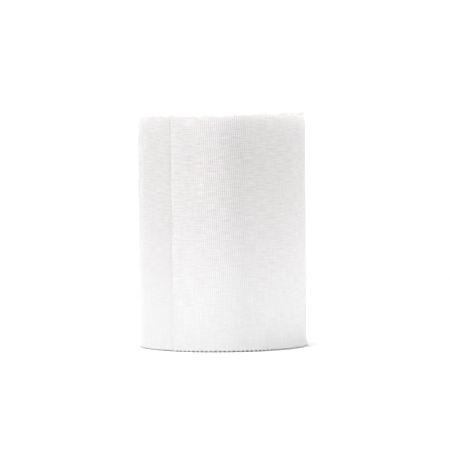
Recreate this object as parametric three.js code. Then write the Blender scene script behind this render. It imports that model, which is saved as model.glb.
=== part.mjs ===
// A roll of white, silk-like woven cloth tape, wound on itself and standing on one flat end.
// Millimetres, +Z up. The origin is on the roll's axis at its base. Angles run from the front, -Y,
// towards the right, +X, so they increase counter-clockwise as seen from above.

import * as THREE from 'three';

const TURN = 2 * Math.PI;

// Driving dimensions
const TAPE_WIDTH = 76.2;
const TAPE_LENGTH = 9144;
const OUTER_RADIUS = 27.5;
const BORE_RADIUS = 12.7;

// Pinked edges: a zigzag with one notch in the front of the roll
const TEETH_PER_TURN = 117;
const TOOTH_DEPTH = 0.45;
const RIM_WIDTH = 0.6;
const NOTCH_ANGLE = THREE.MathUtils.degToRad(1.17);
const TEETH_FROM_LAP_TO_NOTCH = 12.5;

// The outermost turn's lower edge springs out a little at the right of the roll
const FLARE_REACH = 0.5;
const FLARE_HEIGHT = 3;
const FLARE_ANGLE = Math.PI / 2;

// The cut face of each end of the tape, as an angle about the axis
const CUT_ANGLE = THREE.MathUtils.degToRad(0.1);

// What the wound length of tape makes of those sizes
const TURN_THICKNESS = Math.PI * (OUTER_RADIUS ** 2 - BORE_RADIUS ** 2) / TAPE_LENGTH;
const TURNS = (OUTER_RADIUS - BORE_RADIUS) / TURN_THICKNESS - 1;
const HALF_TOOTH_ANGLE = TURN / TEETH_PER_TURN / 2;
const LAP_ANGLE = NOTCH_ANGLE - TEETH_FROM_LAP_TO_NOTCH * 2 * HALF_TOOTH_ANGLE;
const INNER_END_STEP = Math.round((TURNS % 1) * 2 * TEETH_PER_TURN);

// One section of the roll, from the bore across the base, up the wall and back across the top.
// follows: what sets the point's radius. inward: how far inside it the point lies. tooth: which way
// a notch moves the point along the axis.
const SECTION = [
  { follows: 'bore', inward: 0, height: 0, tooth: 0 },
  { follows: 'wall', inward: RIM_WIDTH, height: 0, tooth: 0 },
  { follows: 'wall', inward: 0, height: 0, tooth: 1 },
  { follows: 'wall', inward: 0, height: FLARE_HEIGHT / 2, tooth: 0 },
  { follows: 'wall', inward: 0, height: FLARE_HEIGHT, tooth: 0 },
  { follows: 'wall', inward: 0, height: TAPE_WIDTH, tooth: -1 },
  { follows: 'wall', inward: RIM_WIDTH, height: TAPE_WIDTH, tooth: 0 },
  { follows: 'bore', inward: 0, height: TAPE_WIDTH, tooth: 0 },
  { follows: 'bore', inward: 0, height: 0, tooth: 0 },
];

// The places round the roll where a section stands: each tip and notch, and both cut ends.
// turned: the share of a turn from the lap. cored: the share of a turn from the inner end.
function stations() {
  const steps = 2 * TEETH_PER_TURN;
  const places = [];
  for (let step = 0; step < steps; step += 1) {
    const turned = step / steps;
    const cored = ((step - INNER_END_STEP + steps) % steps) / steps;
    const notch = step % 2;
    const isInnerEnd = step === INNER_END_STEP;
    places.push({ turned, cored: isInnerEnd ? 1 : cored, notch });
    if (isInnerEnd) {
      places.push({ turned: turned + CUT_ANGLE / TURN, cored: 0, notch });
    }
  }
  places.push({ turned: 1 - CUT_ANGLE / TURN, cored: (steps - INNER_END_STEP) / steps, notch: 0 });
  return places;
}

// The wall is the outer face of the last turn: it draws in by one thickness from the lap round to it.
function wallRadius(place) {
  return OUTER_RADIUS - TURN_THICKNESS * place.turned;
}

// The bore is the inner face of the first turn, and steps by one thickness at the tape's inner end.
function boreRadius(place) {
  return BORE_RADIUS + TURN_THICKNESS * (1 - place.cored);
}

function flare(angle, height) {
  const facing = Math.max(0, Math.cos(angle - FLARE_ANGLE));
  const low = Math.max(0, 1 - height / FLARE_HEIGHT);
  return FLARE_REACH * facing ** 2 * low ** 2;
}

function sectionPoint(row, place) {
  const angle = LAP_ANGLE + TURN * place.turned;
  const height = row.height + row.tooth * TOOTH_DEPTH * place.notch;
  const radius = row.follows === 'bore'
    ? boreRadius(place)
    : wallRadius(place) - row.inward + flare(angle, row.height);
  return new THREE.Vector3(radius * Math.sin(angle), height, radius * Math.cos(angle));
}

// A lathe of the section, with each of its copies moved to its own place on the spiral.
function rollGeometry() {
  const places = stations();
  const profile = SECTION.map((row) => new THREE.Vector2(
    row.follows === 'bore' ? BORE_RADIUS : OUTER_RADIUS - row.inward,
    row.height,
  ));
  const geometry = new THREE.LatheGeometry(profile, places.length);
  const position = geometry.attributes.position;
  for (let vertex = 0; vertex < position.count; vertex += 1) {
    const place = places[Math.floor(vertex / SECTION.length) % places.length];
    const point = sectionPoint(SECTION[vertex % SECTION.length], place);
    position.setXYZ(vertex, point.x, point.y, point.z);
  }
  geometry.rotateX(Math.PI / 2);
  geometry.computeVertexNormals();
  return geometry;
}

function clothTape() {
  return new THREE.MeshStandardMaterial({
    color: new THREE.Color(0.93, 0.915, 0.92),
    roughness: 0.85,
    metalness: 0,
  });
}

function roll() {
  const mesh = new THREE.Mesh(rollGeometry(), clothTape());
  mesh.name = 'roll';
  return mesh;
}

const tapeRoll = new THREE.Group();
tapeRoll.name = 'surgical tape roll';
tapeRoll.add(roll());

export default tapeRoll;
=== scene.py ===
"""A roll of white, silk-like cloth surgical tape with pinked edges, standing on end.

The roll is one strip of tape, wound on itself with its separate turns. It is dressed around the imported
solid of the wound form, on a plain pale floor in soft studio light. Sizes are in millimetres until they
are scaled by MM, and angles run from the front, -Y, towards the right, +X.
"""

import math

import bpy
import numpy as np
from mathutils import Matrix, Vector


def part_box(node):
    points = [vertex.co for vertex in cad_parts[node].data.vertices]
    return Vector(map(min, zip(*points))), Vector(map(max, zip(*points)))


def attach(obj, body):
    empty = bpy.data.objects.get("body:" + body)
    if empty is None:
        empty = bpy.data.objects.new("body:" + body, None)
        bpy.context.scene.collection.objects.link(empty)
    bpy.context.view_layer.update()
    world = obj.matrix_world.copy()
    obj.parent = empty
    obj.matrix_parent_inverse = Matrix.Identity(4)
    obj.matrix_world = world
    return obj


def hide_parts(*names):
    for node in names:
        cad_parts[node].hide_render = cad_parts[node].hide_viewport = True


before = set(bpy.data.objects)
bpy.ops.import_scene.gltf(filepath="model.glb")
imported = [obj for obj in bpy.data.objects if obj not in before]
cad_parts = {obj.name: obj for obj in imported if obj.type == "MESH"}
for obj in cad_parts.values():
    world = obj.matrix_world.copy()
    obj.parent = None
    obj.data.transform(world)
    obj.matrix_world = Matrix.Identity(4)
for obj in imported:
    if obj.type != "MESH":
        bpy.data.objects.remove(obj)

MM = 0.001
TURN = 2 * math.pi

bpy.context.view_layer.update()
ROLL_LOW, ROLL_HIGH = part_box("roll")

# The tape and its winding
TAPE_WIDTH = (ROLL_HIGH.z - ROLL_LOW.z) / MM
TAPE_LENGTH = 9144.0
OUTER_RADIUS = 27.5
BORE_RADIUS = 12.7
TURN_PITCH = math.pi * (OUTER_RADIUS**2 - BORE_RADIUS**2) / TAPE_LENGTH
TAPE_THICKNESS = 0.17
FIRST_RADIUS = OUTER_RADIUS - TAPE_THICKNESS / 2

# Pinked edges, with notches that narrow to a blunt end
TEETH_PER_TURN = 117
TOOTH_DEPTH = 0.45
NOTCH_HALF_WIDTH = 0.33
NOTCH_SLOPE = 0.14
NOTCH_ANGLE = math.radians(1.17)
TEETH_FROM_LAP_TO_NOTCH = 11.95
LAP_ANGLE = NOTCH_ANGLE - TEETH_FROM_LAP_TO_NOTCH * TURN / TEETH_PER_TURN
TOOTH_PITCH = TURN * (FIRST_RADIUS - TURN_PITCH / 2) / TEETH_PER_TURN

# How the outermost turns lie
FLARE_REACH = 0.5
FLARE_HEIGHT = 3.0
FLARE_ANGLE = math.pi / 2
EDGE_RISE = 0.14
RIM_LEAN = 0.15
RIM_CURVE = 1.8
RIM_HEIGHT = 6.0
LEANING_TURNS = 6.0
HIDDEN_TEETH = 5
TURN_STEP = 0.35
STEP_REACH = 0.06
TURN_WANDER = 0.05
WALL_WAVE = 0.02

# In turns: where the outermost turn's foot leaves the floor and comes down again, and where its shape ends
RISE_START = 0.08
RISE_END = 1.3
OUTERMOST_END = 1.12

# The weave: ribs across the tape, which lean a little off square, and fine threads along it
RIB_PITCH = 0.633
RIB_LEAN = 0.068
RIB_PHASE = 0.048
THREAD_PITCH = 0.2

# How finely the outermost turn is made
COLUMNS_PER_TOOTH = 9

# Painted glow at the cloth's upper rim: an emission that stands in for light coming down through the thin
# cloth
PAINTED_RIM_GLOW = 0.28
RIM_GLOW_REACH = 2.3

# These stretches run along the tape from its cut end: where the ribs show more, and where the painted shade
# on the cloth starts and ends
RIBS_RISE = (5, 14)
RIBS_FALL = (20, 29)
SHADE_START = (14, 21)
FOOT_SHADE_START = (24, 34)
SHADE_END = (50, 60)

# These stretches run across the tape, up from its foot: where the weave shows more and the painted shade
# changes, then the cloth's own whiteness and tints
CLEARER_UP = (5, 58)
SHADE_UP = (25, 60)
MIDDLE_START = (10, 45)
MIDDLE_END = (62, 76)
FOOT_FALL = (24, 0)
RIGHT_FOOT_FALL = (10, 1)
WHITENESS = 0.832
WHITEST = 0.98
LOW_TINT = (1.0, 0.991, 0.994)
HIGH_TINT = (1.0, 0.966, 0.971)

# The cut outer end
END_LENGTH = 2.4
END_COLUMNS = 16
END_ROW_STEP = 0.45
END_LIFT = 0.12
END_BEAD = 0.16
END_SERRATION = 0.26
END_LIFT_REACH = 1.1
END_BEAD_PLACE = 0.35
END_BEAD_WIDTH = 0.3
SERRATION_REACH = 0.35

# Loose fibres: the threads that fray at the cut end, and short ones at the pinked edges
FIBRE_RADIUS = 0.025
FRAY_PITCH = 0.28
FRAY_LENGTH = 0.55
EDGE_FIBRE_LENGTH = 0.1


def smooth_noise(values, wavelength, seed):
    """A smooth wander from about -1 to 1 along values, the same on each run."""
    draw = np.random.default_rng(seed)
    total = np.zeros_like(values, dtype=float)
    for share in (1.0, 0.61, 0.37, 0.23):
        phase = draw.uniform(0, TURN)
        total += math.sqrt(share) * np.sin(TURN * values / (wavelength * share) + phase)
    return total / 2


def wound(length):
    """Turns from the outer end and the radius of the tape's middle, at a length along the tape."""
    turns = (FIRST_RADIUS - np.sqrt(FIRST_RADIUS**2 - TURN_PITCH * length / math.pi)) / TURN_PITCH
    return turns, FIRST_RADIUS - TURN_PITCH * turns


def length_to(turns):
    return TURN * (FIRST_RADIUS * turns - TURN_PITCH * turns**2 / 2)


def notch(length):
    """0 along the tip of a tooth and 1 in the middle of a notch."""
    phase = (length / TOOTH_PITCH - TEETH_FROM_LAP_TO_NOTCH + 0.5) % 1
    return np.clip((NOTCH_HALF_WIDTH - np.abs(phase - 0.5)) / NOTCH_SLOPE, 0, 1)


def fade(values, start, end):
    """1 before start, 0 after end, and smooth between."""
    share = np.clip((end - values) / (end - start), 0, 1)
    return share * share * (3 - 2 * share)


def flare(angle, height):
    facing = np.maximum(0, np.cos(angle - FLARE_ANGLE))
    low = np.maximum(0, 1 - height / FLARE_HEIGHT)
    return FLARE_REACH * facing**2 * low**2


def lean(turns, height):
    """The upper rims of the last turns draw in, the outermost most."""
    near = np.exp((height - TAPE_WIDTH) / RIM_CURVE)
    return RIM_LEAN * near * np.clip(1 - turns / LEANING_TURNS, 0, 1)


def edge_rise(turns, angle):
    """Past its cut end the outermost turn stands a little off the floor, most at the right."""
    rightward = 0.5 + 0.5 * np.sin(angle)
    return EDGE_RISE * rightward * (1 - fade(turns, 0, RISE_START)) * fade(turns, 1.0, RISE_END)


def wander(turns):
    """The turns beneath stand a little higher than the outermost, and not quite level."""
    uneven = np.maximum(0, 1 + smooth_noise(turns, wavelength=5.3, seed=9))
    return (TURN_STEP + TURN_WANDER * uneven) * (1 - fade(turns, 1.0, 1 + STEP_REACH))


def end_lift(length, height):
    """The cut end stands off the turn beneath and ends in a raised thread."""
    uneven = 0.75 + 0.35 * smooth_noise(height, wavelength=9.0, seed=5)
    lifted = END_LIFT * uneven * np.exp(-np.maximum(length, 0) / END_LIFT_REACH)
    knotted = 1 + 0.5 * smooth_noise(height, wavelength=1.7, seed=6)
    bead = END_BEAD * knotted * np.exp(-((length - END_BEAD_PLACE) / END_BEAD_WIDTH) ** 2)
    return lifted, bead


def serration(height):
    """How far the cut wanders along the tape."""
    coarse = smooth_noise(height, wavelength=1.75, seed=7)
    fine = smooth_noise(height, wavelength=0.8, seed=8)
    return END_SERRATION * (0.7 * coarse + 0.3 * fine)


def wall_wave(length, height):
    """The outermost turn isn't pulled down quite evenly."""
    long_wave = smooth_noise(length + 0.4 * height, wavelength=61.0, seed=12)
    cross_wave = smooth_noise(height - 0.2 * length, wavelength=37.0, seed=13)
    return WALL_WAVE * np.maximum(0, 1 + 0.5 * (long_wave + cross_wave))


def tape_points(length, height, outer, proud=0.0):
    """Points of the tape's outer or inner face, or this far off it, in metres."""
    cut = length + serration(height) * np.exp(-np.abs(length) / SERRATION_REACH) * (length < END_LENGTH)
    turns, middle = wound(cut)
    angle = LAP_ANGLE + TURN * turns
    outermost = fade(turns, 1.0, OUTERMOST_END)
    radius = middle + proud + np.where(outer, TAPE_THICKNESS / 2, -TAPE_THICKNESS / 2)
    radius = radius + (flare(angle, height) + wall_wave(cut, height)) * outermost - lean(turns, height)
    lifted, bead = end_lift(cut, height)
    radius = radius + lifted + outer * bead
    up = height + edge_rise(turns, angle) + wander(turns)
    return np.stack((radius * np.sin(angle), -radius * np.cos(angle), up), axis=-1) * MM


class Strip:
    """The tape's mesh: rings of points round its cross-section, one after another along it.

    A ring runs up the outer face and down the inner face.
    """

    def __init__(self):
        self.points = []
        self.flat = []
        self.faces = []
        self.slots = []
        self.count = 0
        self.last = None

    def add_section(self, lengths, outer_rows, inner_rows):
        """Adds a ring at each length, with points at these heights up its outer and inner faces."""
        rows = np.array(list(outer_rows) + list(inner_rows)[::-1], dtype=float)
        outer = np.arange(len(rows)) < len(outer_rows)
        foot, head = np.isclose(rows, 0), np.isclose(rows, TAPE_WIDTH)
        cut = TOOTH_DEPTH * notch(lengths)[:, None]
        height = rows + cut * foot - cut * head
        along = np.broadcast_to(lengths[:, None], height.shape)
        self.points.append(tape_points(along, height, outer).reshape(-1, 3))
        self.flat.append(np.stack((along, height), axis=-1).reshape(-1, 2))

        ids = self.count + np.arange(height.size).reshape(height.shape)
        self.count += height.size
        beside = np.roll(ids, -1, axis=1)
        quads = np.stack((ids[:-1], ids[1:], beside[1:], beside[:-1]), axis=-1)
        crossing = outer != np.roll(outer, -1)
        slots = np.where(crossing, EDGE, np.where(outer, BACKING, ADHESIVE))
        first = self.split(ids[0], height[0], outer)
        if self.last is None:
            self.close(first, False)
        else:
            self.join(self.last, first)
        self.faces.extend(quads.reshape(-1, 4).tolist())
        self.slots.extend(np.tile(slots, len(lengths) - 1).tolist())
        self.last = self.split(ids[-1], height[-1], outer)

    def split(self, ids, height, outer):
        """A ring's outer and inner columns, each from the foot up, as (points, heights)."""
        return (ids[outer], height[outer]), (ids[~outer][::-1], height[~outer][::-1])

    def join(self, before, after):
        """Joins two rings that may have different rows."""
        self.zip(before[0], after[0], BACKING, False)
        self.zip(before[1], after[1], ADHESIVE, True)
        for end in (0, -1):
            corners = [before[0][0][end], before[1][0][end], after[1][0][end], after[0][0][end]]
            self.add_face(corners, EDGE, end == -1)

    def close(self, ring, turned):
        """Closes a cut end of the tape."""
        self.zip(ring[1], ring[0], EDGE, turned)

    def zip(self, before, after, slot, turned):
        """Triangles between two columns of points, taking the lower next point each time."""
        (ids_a, height_a), (ids_b, height_b) = before, after
        a = b = 0
        while a < len(ids_a) - 1 or b < len(ids_b) - 1:
            next_a = height_a[a + 1] if a < len(ids_a) - 1 else math.inf
            next_b = height_b[b + 1] if b < len(ids_b) - 1 else math.inf
            corners = [ids_a[a], ids_b[b]]
            if next_a < next_b:
                a += 1
                corners.append(ids_a[a])
            else:
                b += 1
                corners.append(ids_b[b])
            self.add_face(corners, slot, turned)

    def add_face(self, corners, slot, turned):
        corners = [int(corner) for corner in corners]
        self.faces.append(corners[::-1] if turned else corners)
        self.slots.append(slot)

    def finish(self, name, materials):
        self.close(self.last, True)
        mesh = bpy.data.meshes.new(name)
        mesh.from_pydata(np.concatenate(self.points).tolist(), [], self.faces)
        for material in materials:
            mesh.materials.append(material)
        slots = np.array(self.slots, dtype=np.int32)
        mesh.polygons.foreach_set("material_index", slots)
        mesh.polygons.foreach_set("use_smooth", slots != EDGE)
        strip = mesh.uv_layers.new(name="strip")
        corner_points = np.zeros(len(mesh.loops), dtype=np.int32)
        mesh.loops.foreach_get("vertex_index", corner_points)
        flat = np.concatenate(self.flat)[corner_points] * MM
        strip.data.foreach_set("uv", flat.astype(np.float32).ravel())
        mesh.update()
        tape = bpy.data.objects.new(name, mesh)
        bpy.context.scene.collection.objects.link(tape)
        return tape


BACKING, ADHESIVE, EDGE = range(3)


def wound_tape(materials):
    """The whole strip, from its cut outer end to its inner end, finest where it shows."""
    edge_rows = [0, 0.8, 1.4, 2.1, 3.0, 4.5]
    low_rows = [0, 1.4, 3.0]
    rim_rows = [TAPE_WIDTH - RIM_HEIGHT * share for share in (1, 0.6, 0.35, 0.15, 0)]
    plain_rows = [0, TAPE_WIDTH - RIM_HEIGHT, TAPE_WIDTH]
    wall_rows = list(np.linspace(12, TAPE_WIDTH - 14, 7))
    end_rows = list(np.linspace(0, TAPE_WIDTH, round(TAPE_WIDTH / END_ROW_STEP) + 1))
    fine_step = TOOTH_PITCH / COLUMNS_PER_TOOTH
    half_tooth = TOOTH_PITCH / 2
    fine_teeth = TEETH_PER_TURN + HIDDEN_TEETH
    leaning = math.ceil(length_to(LEANING_TURNS) / half_tooth)
    whole = math.floor(TAPE_LENGTH / half_tooth)

    strip = Strip()
    strip.add_section(END_LENGTH * np.arange(END_COLUMNS) / END_COLUMNS, end_rows, end_rows)
    fine = np.arange(math.ceil(END_LENGTH / fine_step), fine_teeth * COLUMNS_PER_TOOTH)
    strip.add_section((fine + 0.5) * fine_step, edge_rows + wall_rows + rim_rows, low_rows + rim_rows)
    strip.add_section(np.arange(2 * fine_teeth, leaning) * half_tooth, plain_rows, plain_rows)
    strip.add_section(np.arange(leaning, whole) * half_tooth, [0, TAPE_WIDTH], [0, TAPE_WIDTH])
    tape = strip.finish("wound_tape", materials)
    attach(tape, "root")
    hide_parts("roll")
    return tape


def fibre_mesh(name, paths, material):
    """Thin three-sided fibres, each along its own row of points and coming to a point."""
    corners = np.arange(3) * TURN / 3
    points, faces = [], []
    for path in paths:
        first = len(points)
        ahead = (path[-1] - path[0]) / np.linalg.norm(path[-1] - path[0])
        side = np.cross(ahead, (0.3, 0.5, 0.8))
        side /= np.linalg.norm(side)
        across = np.cross(ahead, side)
        for place in path[:-1]:
            ring = [place + FIBRE_RADIUS * MM * (side * math.cos(a) + across * math.sin(a)) for a in corners]
            points.extend(ring)
        tip = len(points)
        points.append(path[-1])
        for ring in range(first, tip - 3, 3):
            for corner in range(3):
                after = (corner + 1) % 3
                faces.append((ring + corner, ring + after, ring + 3 + after, ring + 3 + corner))
        faces.append((first + 2, first + 1, first))
        faces.extend((tip - 3 + corner, tip - 3 + (corner + 1) % 3, tip) for corner in range(3))
    mesh = bpy.data.meshes.new(name)
    mesh.from_pydata([tuple(point) for point in points], [], faces)
    mesh.materials.append(material)
    mesh.update()
    fibres = bpy.data.objects.new(name, mesh)
    bpy.context.scene.collection.objects.link(fibres)
    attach(fibres, "root")
    return fibres


def frayed_end(material):
    """The ends of the threads along the tape, which stand out of its cut end in small tufts."""
    draw = np.random.default_rng(21)
    paths = []
    for height in np.arange(FRAY_PITCH, TAPE_WIDTH - FRAY_PITCH, FRAY_PITCH):
        tuft = 0.6 + 0.4 * float(smooth_noise(np.array(height), wavelength=2.1, seed=22))
        reach = FRAY_LENGTH * tuft * draw.uniform(0.3, 1.0)
        rise = draw.normal(0, 0.12)
        share = np.array((-0.5, 0.5, 1.0))
        paths.append(tape_points(
            -reach * share,
            np.clip(height + rise * share, 0.1, TAPE_WIDTH - 0.1),
            np.zeros(3, dtype=bool),
            0.1 + draw.uniform(-0.02, 0.1) * share**2,
        ))
    return fibre_mesh("frayed_threads", paths, material)


def edge_fibres(material):
    """A few short fibres that stand out of the pinked edges of the outermost turn."""
    draw = np.random.default_rng(23)
    share = np.array((-0.3, 0.5, 1.0))
    paths = []
    for tooth in range(TEETH_PER_TURN):
        for upper in (True, False):
            length = (tooth + draw.uniform(0.05, 0.95)) * TOOTH_PITCH
            cut = TOOTH_DEPTH * float(notch(length))
            reach = EDGE_FIBRE_LENGTH * draw.uniform(0.3, 1.0)
            height = TAPE_WIDTH - cut + reach * share if upper else cut + 0.1 + 0 * share
            paths.append(tape_points(
                length + draw.normal(0, 0.5) * reach * share,
                height,
                np.zeros(3, dtype=bool),
                TAPE_THICKNESS / 2 + draw.uniform(0.1, 0.6) * reach * np.maximum(share, 0),
            ))
    return fibre_mesh("edge_fibres", paths, material)


def cloth_tape():
    """The strip and its loose fibres."""
    fibre = fibre_material()
    tape = wound_tape([backing_material(), adhesive_material(), edge_material()])
    loose = [frayed_end(fibre), edge_fibres(fibre)]


class Nodes:
    """Short calls for a material's nodes."""

    def __init__(self, name):
        self.material = bpy.data.materials.new(name)
        self.material.use_nodes = True
        self.tree = self.material.node_tree
        self.shader = self.tree.nodes["Principled BSDF"]

    def link(self, source, target):
        self.tree.links.new(source, target)

    def math(self, operation, *values):
        node = self.tree.nodes.new("ShaderNodeMath")
        node.operation = operation
        for place, value in enumerate(values):
            if isinstance(value, (int, float)):
                node.inputs[place].default_value = value
            else:
                self.link(value, node.inputs[place])
        return node.outputs[0]

    def strip(self):
        """The place on the flat tape, in metres: along it and across it."""
        uv = self.tree.nodes.new("ShaderNodeUVMap")
        uv.uv_map = "strip"
        parts = self.tree.nodes.new("ShaderNodeSeparateXYZ")
        self.link(uv.outputs[0], parts.inputs[0])
        return parts.outputs[0], parts.outputs[1]

    def total(self, start, *terms):
        """start plus each term times its weight."""
        result = start
        for weight, term in terms:
            result = self.math("MULTIPLY_ADD", term, weight, result)
        return result

    def ramp(self, value, low, high):
        """0 at low and 1 at high, and smooth between. Both are in millimetres."""
        node = self.tree.nodes.new("ShaderNodeMapRange")
        node.interpolation_type = "SMOOTHSTEP"
        node.inputs["From Min"].default_value = low * MM
        node.inputs["From Max"].default_value = high * MM
        self.link(value, node.inputs["Value"])
        return node.outputs["Result"]

    def band(self, value, start, end):
        """0 before start and after end, 1 between them, and smooth within each."""
        return self.math("SUBTRACT", self.ramp(value, *start), self.ramp(value, *end))

    def near(self, distance, reach):
        """1 at no distance, falling to about a third at this reach, in millimetres, on either side."""
        steps = self.math("MULTIPLY", self.math("ABSOLUTE", distance), -1 / (reach * MM))
        return self.math("EXPONENT", steps)

    def vector(self, x, y):
        node = self.tree.nodes.new("ShaderNodeCombineXYZ")
        self.link(x, node.inputs[0])
        self.link(y, node.inputs[1])
        return node.outputs[0]

    def streaks(self, along, across, run, rise, detail=1.0):
        """Noise about 0, with spots this many millimetres long along the tape and high across it."""
        along_steps = self.math("MULTIPLY", along, 1 / (run * MM))
        across_steps = self.math("MULTIPLY", across, 1 / (rise * MM))
        return self.math("SUBTRACT", self.noise(self.vector(along_steps, across_steps), 1.0, detail), 0.5)

    def noise(self, vector, scale, detail=2.0):
        node = self.tree.nodes.new("ShaderNodeTexNoise")
        node.inputs["Scale"].default_value = scale
        node.inputs["Detail"].default_value = detail
        self.link(vector, node.inputs["Vector"])
        return node.outputs["Fac"]

    def blend(self, share, low, high):
        """A colour from low to high, each of which is a colour or another node's output."""
        node = self.tree.nodes.new("ShaderNodeMix")
        node.data_type = "RGBA"
        self.link(share, node.inputs[0])
        for place, colour in ((6, low), (7, high)):
            if isinstance(colour, tuple):
                node.inputs[place].default_value = (*colour, 1)
            else:
                self.link(colour, node.inputs[place])
        return node.outputs[2]

    def bump(self, height, distance):
        node = self.tree.nodes.new("ShaderNodeBump")
        node.inputs["Distance"].default_value = distance
        self.link(height, node.inputs["Height"])
        self.link(node.outputs[0], self.shader.inputs["Normal"])


def rib_weave(nodes, along, across, upper):
    """The ribs' place in the weave, and their relief, which is most about the middle of the front. It is
    stronger up the roll, as painted shade of the relief, which light off the floor fills lower down.
    """
    square = nodes.math("SUBTRACT", along, nodes.math("MULTIPLY", across, RIB_LEAN))
    rib = nodes.math("ADD", nodes.math("MULTIPLY", square, 1 / (RIB_PITCH * MM)), RIB_PHASE)
    crown = nodes.math("SINE", nodes.math("MULTIPLY", rib, TURN))
    ribs_shown = nodes.math("MULTIPLY", nodes.band(along, RIBS_RISE, RIBS_FALL), upper)
    patch = nodes.streaks(along, across, run=6, rise=4)
    depth = nodes.math("ADD", nodes.total(0.15, (1.0, ribs_shown)), patch)
    return rib, nodes.math("MULTIPLY", crown, depth)


def thread_weave(nodes, along, across, rib):
    """The threads along the tape where they pass over the ribs, their thick places and their tones."""
    thread = nodes.math("MULTIPLY", across, 1 / (THREAD_PITCH * MM))
    strand = nodes.math("ABSOLUTE", nodes.math("SINE", nodes.math("MULTIPLY", thread, math.pi)))
    crossing = nodes.math("ADD", nodes.math("FLOOR", rib), nodes.math("FLOOR", thread))
    over = nodes.math("MULTIPLY", nodes.math("MODULO", crossing, 2), strand)
    slub = nodes.streaks(along, across, run=1.2, rise=0.5, detail=2.0)
    tone = nodes.streaks(along, across, run=4, rise=0.35)
    return over, slub, tone


def painted_shade_places(nodes, along, across, from_lap):
    """Painted shade, each with its weight: a narrow dip and a broad stretch at the right, more up the roll,
    a band at middle heights, darker towards the foot away from the lap, and more at the foot on the right.
    """
    clear_of_lap = nodes.total(1.0, (-0.8, nodes.near(from_lap, 15)))
    foot = nodes.math("MULTIPLY", nodes.ramp(across, *FOOT_FALL), clear_of_lap)
    at_right = nodes.band(along, SHADE_START, SHADE_END)
    foot_at_right = nodes.band(along, FOOT_SHADE_START, SHADE_END)
    return (
        (-0.025, nodes.near(nodes.math("SUBTRACT", along, 24 * MM), 3)),
        (-0.042, nodes.math("MULTIPLY", at_right, nodes.ramp(across, *SHADE_UP))),
        (-0.022, nodes.band(across, MIDDLE_START, MIDDLE_END)),
        (-0.045, foot),
        (-0.04, nodes.math("MULTIPLY", foot_at_right, nodes.ramp(across, *RIGHT_FOOT_FALL))),
    )


def lap_places(nodes, along, across, from_lap, upper):
    """A painted highlight on the bead of the cut end, the cloth darker on either side of the lap, and
    painted shadow in specks just before the lap, under the lifted end.
    """
    knots = nodes.streaks(along, across, run=1.5, rise=1.5)
    # A painted highlight along the cut end's raised thread
    bead = nodes.math("MULTIPLY", nodes.near(along, 0.7), nodes.total(0.5, (0.5, upper), (1.5, knots)))
    specks = nodes.noise(nodes.vector(along, across), 500.0)
    # Painted shadow in specks just before the lap, under the lifted cut end
    painted_lap_shadow = nodes.math("MULTIPLY", nodes.near(from_lap, 0.7), specks)
    return (
        (0.11, bead),
        (-0.03, nodes.near(along, 6)),
        (-0.04, nodes.near(from_lap, 25)),
        (-0.12, painted_lap_shadow),
    )


def backing_material():
    """Silk-like weave: fine threads along the tape pass over and under the ribs across it."""
    nodes = Nodes("tape_backing")
    along, across = nodes.strip()
    from_lap = nodes.math("SUBTRACT", length_to(1.0) * MM, along)
    upper = nodes.ramp(across, *CLEARER_UP)
    rim = nodes.near(nodes.math("SUBTRACT", across, TAPE_WIDTH * MM), RIM_GLOW_REACH)
    rib, weave = rib_weave(nodes, along, across, upper)
    over, slub, thread_tone = thread_weave(nodes, along, across, rib)

    # The threads stand out more up the roll, as painted shade of their relief, which light off the floor
    # fills lower down, and less before the lap and at the rim
    clear = nodes.total(0.5, (0.65, upper), (-0.25, nodes.near(from_lap, 30)), (-0.6, rim))
    threads = nodes.total(0.0, (0.03, over), (0.11, slub), (0.22, thread_tone))
    whiteness = nodes.total(
        WHITENESS,
        # The ribs' dark grooves: partly the adhesive showing through, partly painted shade of their relief
        (0.085, weave),
        (1.0, nodes.math("MULTIPLY", threads, clear)),
        (0.07, nodes.streaks(along, across, run=0.5, rise=7)),
        (0.02, nodes.streaks(along, across, run=30, rise=20)),
        *lap_places(nodes, along, across, from_lap, upper),
        # Painted shade at the right, at middle heights and towards the foot
        *painted_shade_places(nodes, along, across, from_lap),
    )
    tint = nodes.blend(upper, LOW_TINT, HIGH_TINT)
    colour = nodes.blend(nodes.math("MINIMUM", whiteness, WHITEST), (0, 0, 0), tint)
    nodes.link(colour, nodes.shader.inputs["Base Color"])
    nodes.bump(nodes.total(0.0, (0.5, weave), (0.6, over), (2.0, slub), (2.0, thread_tone)), 0.02 * MM)
    # Painted glow at the upper rim, an emission that is weaker near the cut end and the lap, where more lamp
    # light falls on the rim
    by_end = nodes.near(along, 20)
    by_lap = nodes.near(from_lap, 30)
    painted_rim_glow = nodes.total(PAINTED_RIM_GLOW, (-0.23, by_end), (-0.2, by_lap))
    nodes.link(nodes.math("MULTIPLY", rim, painted_rim_glow), nodes.shader.inputs["Emission Strength"])
    nodes.shader.inputs["Emission Color"].default_value = (1, 1, 1, 1)
    nodes.shader.inputs["Roughness"].default_value = 0.6
    nodes.shader.inputs["Sheen Weight"].default_value = 0.2
    nodes.shader.inputs["Sheen Roughness"].default_value = 0.4
    nodes.shader.inputs["Specular IOR Level"].default_value = 0.4
    return nodes.material


def adhesive_material():
    nodes = Nodes("tape_adhesive")
    place = nodes.vector(*nodes.strip())
    cloud = nodes.noise(place, 400.0, 4.0)
    colour = nodes.blend(cloud, (0.84, 0.82, 0.78), (0.9, 0.885, 0.86))
    nodes.link(colour, nodes.shader.inputs["Base Color"])
    nodes.bump(cloud, 0.02 * MM)
    nodes.shader.inputs["Roughness"].default_value = 0.45
    return nodes.material


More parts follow.
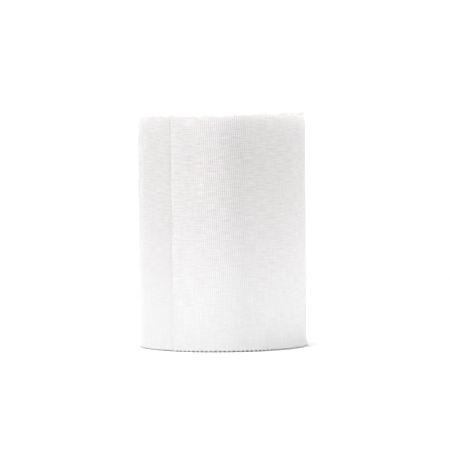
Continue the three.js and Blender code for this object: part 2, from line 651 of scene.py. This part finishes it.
def fibre_material():
    nodes = Nodes("tape_fibre")
    place = nodes.tree.nodes.new("ShaderNodeNewGeometry").outputs["Position"]
    colour = nodes.blend(nodes.noise(place, 900.0), (0.9, 0.885, 0.89), (0.98, 0.965, 0.97))
    nodes.link(colour, nodes.shader.inputs["Base Color"])
    nodes.shader.inputs["Roughness"].default_value = 0.7
    nodes.shader.inputs["Sheen Weight"].default_value = 0.3
    return nodes.material


def edge_material():
    nodes = Nodes("tape_edge")
    place = nodes.vector(*nodes.strip())
    fibres = nodes.noise(place, 6000.0, 2.0)
    # Darker than the faces: partly the adhesive at the cut edges, partly painted shade of the gaps between
    # the turns
    colour = nodes.blend(fibres, (0.66, 0.64, 0.62), (0.86, 0.845, 0.83))
    nodes.link(colour, nodes.shader.inputs["Base Color"])
    nodes.bump(fibres, 0.02 * MM)
    nodes.shader.inputs["Roughness"].default_value = 0.9
    return nodes.material


# The camera, a little above the top of the roll and a metre in front of it
CAMERA_PLACE = Vector((0.94, -1002.35, 80.0)) * MM
CAMERA_PITCH = 0.04015
CAMERA_ROLL = 0.0085
SENSOR_WIDTH = 36.0
FOCAL_PIXELS = 3053.0
IMAGE_PIXELS = 450.0


def photo_camera():
    camera = bpy.data.cameras.new("photo_camera")
    camera.sensor_width = SENSOR_WIDTH
    camera.lens = SENSOR_WIDTH * FOCAL_PIXELS / IMAGE_PIXELS
    camera.clip_start = 0.01
    camera.clip_end = 20
    holder = bpy.data.objects.new("photo_camera", camera)
    looking = Matrix.Rotation(math.pi / 2 - CAMERA_PITCH, 4, "X") @ Matrix.Rotation(-CAMERA_ROLL, 4, "Z")
    holder.matrix_world = Matrix.Translation(CAMERA_PLACE) @ looking
    bpy.context.scene.collection.objects.link(holder)
    bpy.context.scene.camera = holder


# Soft square lights round the roll, a metre from its middle
LIGHT_DISTANCE = 1.0
LIGHTS = (
    # name, angle from the front, degrees above the middle, size in metres, watts
    ("overhead", 0, 90, 0.2, 5.9),
    ("key_left", -40, 35, 0.4, 3.6),
    ("side_left", -78, 35, 0.4, 1.2),
    ("high_left", -90, 60, 0.4, 2.7),
    ("fill_right", 40, 8, 0.4, 2.2),
    ("side_right", 105, 8, 0.4, 3.2),
    ("rim_right", 150, 8, 0.4, 1.05),
    ("rim_left", -150, 8, 0.4, 1.5),
)
ROOM_LIGHT = 0.02
ROOM_WHITE = 1.05
FLOOR_REACH = 0.4
FLOOR_CORNERS = 64
FLOOR_GLOW = 0.15
NEAR_GLOW = 0.11
GLOW_REACH = 0.09


def area_light(name, angle, rise, size, power):
    """A soft light that shines at the middle of the roll and isn't seen itself."""
    light = bpy.data.lights.new(name, "AREA")
    light.size = size
    light.energy = power
    around, up = math.radians(angle), math.radians(rise)
    toward = Vector((math.sin(around) * math.cos(up), -math.cos(around) * math.cos(up), math.sin(up)))
    holder = bpy.data.objects.new(name, light)
    holder.location = Vector((0, 0, TAPE_WIDTH / 2 * MM)) + toward * LIGHT_DISTANCE
    holder.rotation_euler = toward.to_track_quat("Z", "Y").to_euler()
    holder.visible_camera = False
    bpy.context.scene.collection.objects.link(holder)


def white_room():
    """A room that looks white behind the roll but adds little light of its own."""
    world = bpy.data.worlds.new("white_room")
    world.use_nodes = True
    tree = world.node_tree
    background = tree.nodes["Background"]
    background.inputs["Color"].default_value = (1, 1, 1, 1)
    path = tree.nodes.new("ShaderNodeLightPath")
    strength = tree.nodes.new("ShaderNodeMapRange")
    strength.inputs["To Min"].default_value = ROOM_LIGHT
    strength.inputs["To Max"].default_value = ROOM_WHITE
    tree.links.new(path.outputs["Is Camera Ray"], strength.inputs["Value"])
    tree.links.new(strength.outputs["Result"], background.inputs["Strength"])
    bpy.context.scene.world = world


def studio():
    """A white floor in a white room, lit from above and most from the left."""
    pale_floor()
    white_room()
    for row in LIGHTS:
        area_light(*row)
    bpy.context.scene.view_settings.view_transform = "Standard"


def pale_floor():
    """A round white table top, lit a little from below round the roll, as a light table is."""
    ring = [TURN * corner / FLOOR_CORNERS for corner in range(FLOOR_CORNERS)]
    mesh = bpy.data.meshes.new("floor")
    mesh.from_pydata(
        [(FLOOR_REACH * math.cos(angle), FLOOR_REACH * math.sin(angle), 0) for angle in ring],
        [],
        [list(range(FLOOR_CORNERS))],
    )
    nodes = Nodes("pale_floor")
    place = nodes.tree.nodes.new("ShaderNodeNewGeometry").outputs["Position"]
    away = nodes.tree.nodes.new("ShaderNodeVectorMath")
    away.operation = "LENGTH"
    nodes.link(place, away.inputs[0])
    steps = nodes.math("DIVIDE", away.outputs["Value"], GLOW_REACH)
    fall = nodes.math("EXPONENT", nodes.math("MULTIPLY", nodes.math("MULTIPLY", steps, steps), -1.0))
    open_floor = nodes.math("GREATER_THAN", away.outputs["Value"], OUTER_RADIUS * MM)
    glow = nodes.total(FLOOR_GLOW, (NEAR_GLOW, fall))
    nodes.link(nodes.math("MULTIPLY", glow, open_floor), nodes.shader.inputs["Emission Strength"])
    nodes.shader.inputs["Emission Color"].default_value = (1, 1, 1, 1)
    nodes.shader.inputs["Base Color"].default_value = (0.95, 0.95, 0.95, 1)
    nodes.shader.inputs["Roughness"].default_value = 0.9
    mesh.materials.append(nodes.material)
    floor = bpy.data.objects.new("floor", mesh)
    bpy.context.scene.collection.objects.link(floor)


photo_camera()
cloth_tape()
studio()
